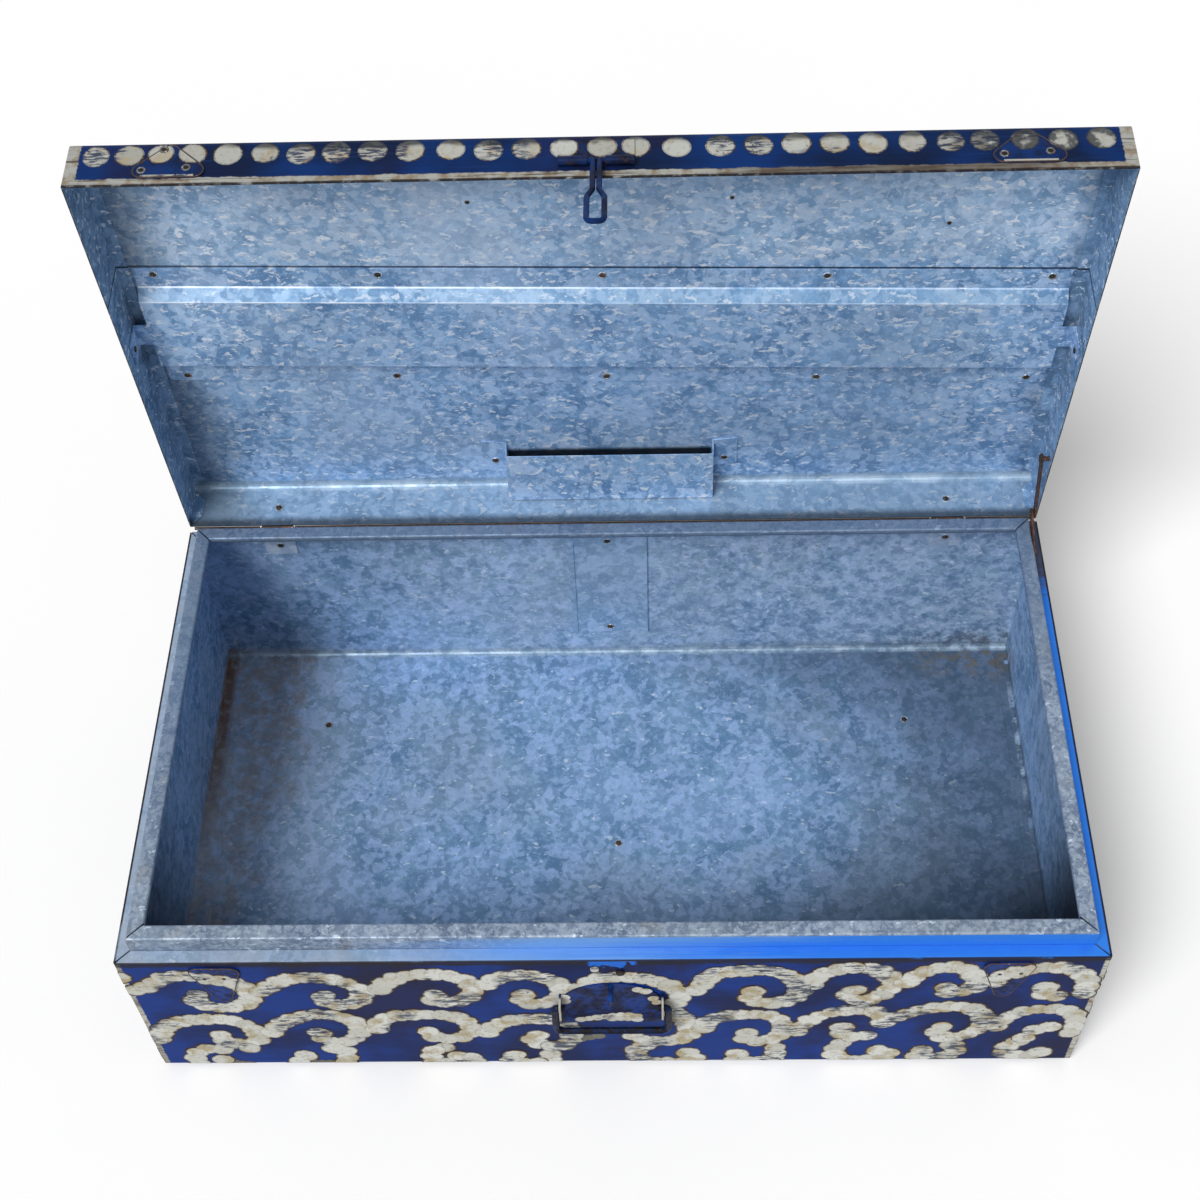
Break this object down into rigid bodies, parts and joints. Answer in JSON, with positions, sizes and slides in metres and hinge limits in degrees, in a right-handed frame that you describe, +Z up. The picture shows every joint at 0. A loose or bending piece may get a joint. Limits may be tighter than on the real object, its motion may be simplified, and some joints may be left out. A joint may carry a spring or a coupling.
{
  "type": "metal travel trunk",
  "caption": "Rectangular folded sheet-metal trunk with a hinged lid, inset rim, lid stay, hasp and staple, clasp plates and a wire bail handle.",
  "frame": {"origin": "centre of the floor's underside", "axes": "+X along the trunk to its right end, +Y to the back where the hinges are, +Z up"},
  "size_m": [0.7618, 0.4879, 0.636],
  "materials": {
    "galvanised_sheet": "spangled zinc, satin",
    "rim_zinc": "dull zinc",
    "painted_steel": "worn navy enamel with cream scrolls",
    "painted_wire": "worn blue enamel",
    "worn_steel": "worn",
    "rusty_steel": "rusted",
    "rivet_steel": "dull"
  },
  "bodies": {
    "body": {"body_tray": "galvanised_sheet", "end_panel_left": "galvanised_sheet", "end_panel_right": "galvanised_sheet", "rim_front": "rim_zinc", "rim_back": "rim_zinc", "rim_left": "rim_zinc", "rim_right": "rim_zinc", "back_seam_strip": "galvanised_sheet", "hinge_backing_left": "galvanised_sheet", "hinge_backing_right": "galvanised_sheet", "hinge_body_leaf_left": "worn_steel", "hinge_body_leaf_right": "worn_steel", "hinge_pin_left": "worn_steel", "hinge_pin_right": "worn_steel", "handle_plate": "painted_steel", "hasp_staple": "painted_wire", "clasp_plate_body_left": "painted_steel", "clasp_plate_body_right": "painted_steel", "stay_lower_stud": "rivet_steel", "seam_rivet_top": "rivet_steel", "seam_rivet_bottom": "rivet_steel", "hinge_body_rivet_left": "rivet_steel", "hinge_body_rivet_right": "rivet_steel", "floor_rivet_1": "rivet_steel", "floor_rivet_2": "rivet_steel", "floor_rivet_3": "rivet_steel", "floor_rivet_4": "rivet_steel", "floor_rivet_5": "rivet_steel"},
    "lid": {"lid_pan": "galvanised_sheet", "lid_end_left": "galvanised_sheet", "lid_end_right": "galvanised_sheet", "lid_strap": "galvanised_sheet", "lid_pocket": "galvanised_sheet", "hinge_lid_leaf_left": "worn_steel", "hinge_lid_leaf_right": "worn_steel", "hasp_plate": "painted_steel", "clasp_plate_lid_left": "painted_steel", "clasp_plate_lid_right": "painted_steel", "stay_upper_stud": "rivet_steel", "strap_rivet_lower_1": "rivet_steel", "strap_rivet_lower_2": "rivet_steel", "strap_rivet_lower_3": "rivet_steel", "strap_rivet_lower_4": "rivet_steel", "strap_rivet_lower_5": "rivet_steel", "strap_rivet_upper_1": "rivet_steel", "strap_rivet_upper_2": "rivet_steel", "strap_rivet_upper_3": "rivet_steel", "strap_rivet_upper_4": "rivet_steel", "strap_rivet_upper_5": "rivet_steel", "strap_end_rivet_left": "rivet_steel", "strap_end_rivet_right": "rivet_steel", "pocket_rivet_left": "rivet_steel", "pocket_rivet_right": "rivet_steel", "hinge_lid_rivet_left": "rivet_steel", "hinge_lid_rivet_right": "rivet_steel"},
    "hasp": {"hasp_wire": "painted_wire"},
    "handle": {"handle_bail": "painted_wire"},
    "stay_lower": {"stay_lower_link": "rusty_steel"},
    "stay_upper": {"stay_upper_link": "rusty_steel"}
  },
  "joints": [
    {"name": "lid_hinge", "type": "hinge", "parent": "body", "child": "lid", "pos_m": [0, 0.2162, 0.192], "axis": [-1, 0, 0], "range_deg": [-85, 0]},
    {"name": "hasp_hinge", "type": "hinge", "parent": "lid", "child": "hasp", "pos_m": [0, 0.19187, 0.62493], "axis": [-1, 0, 0], "range_deg": [-12, 150]},
    {"name": "bail_hinge", "type": "hinge", "parent": "body", "child": "handle", "pos_m": [0, -0.2215, 0.125], "axis": [-1, 0, 0], "range_deg": [0, 120]},
    {"name": "stay_lower_hinge", "type": "hinge", "parent": "body", "child": "stay_lower", "pos_m": [0.36995, 0.1689, 0.2032], "axis": [-1, 0, 0], "range_deg": [0, 34]},
    {"name": "stay_upper_hinge", "type": "hinge", "parent": "lid", "child": "stay_upper", "pos_m": [0.37265, 0.21735, 0.2706], "axis": [-1, 0, 0], "range_deg": [-21, 0]}
  ],
  "couplings": [
    {"joint": "stay_lower_hinge", "follows": "lid_hinge", "ratio": -0.398},
    {"joint": "stay_upper_hinge", "follows": "lid_hinge", "ratio": 0.2434}
  ]
}
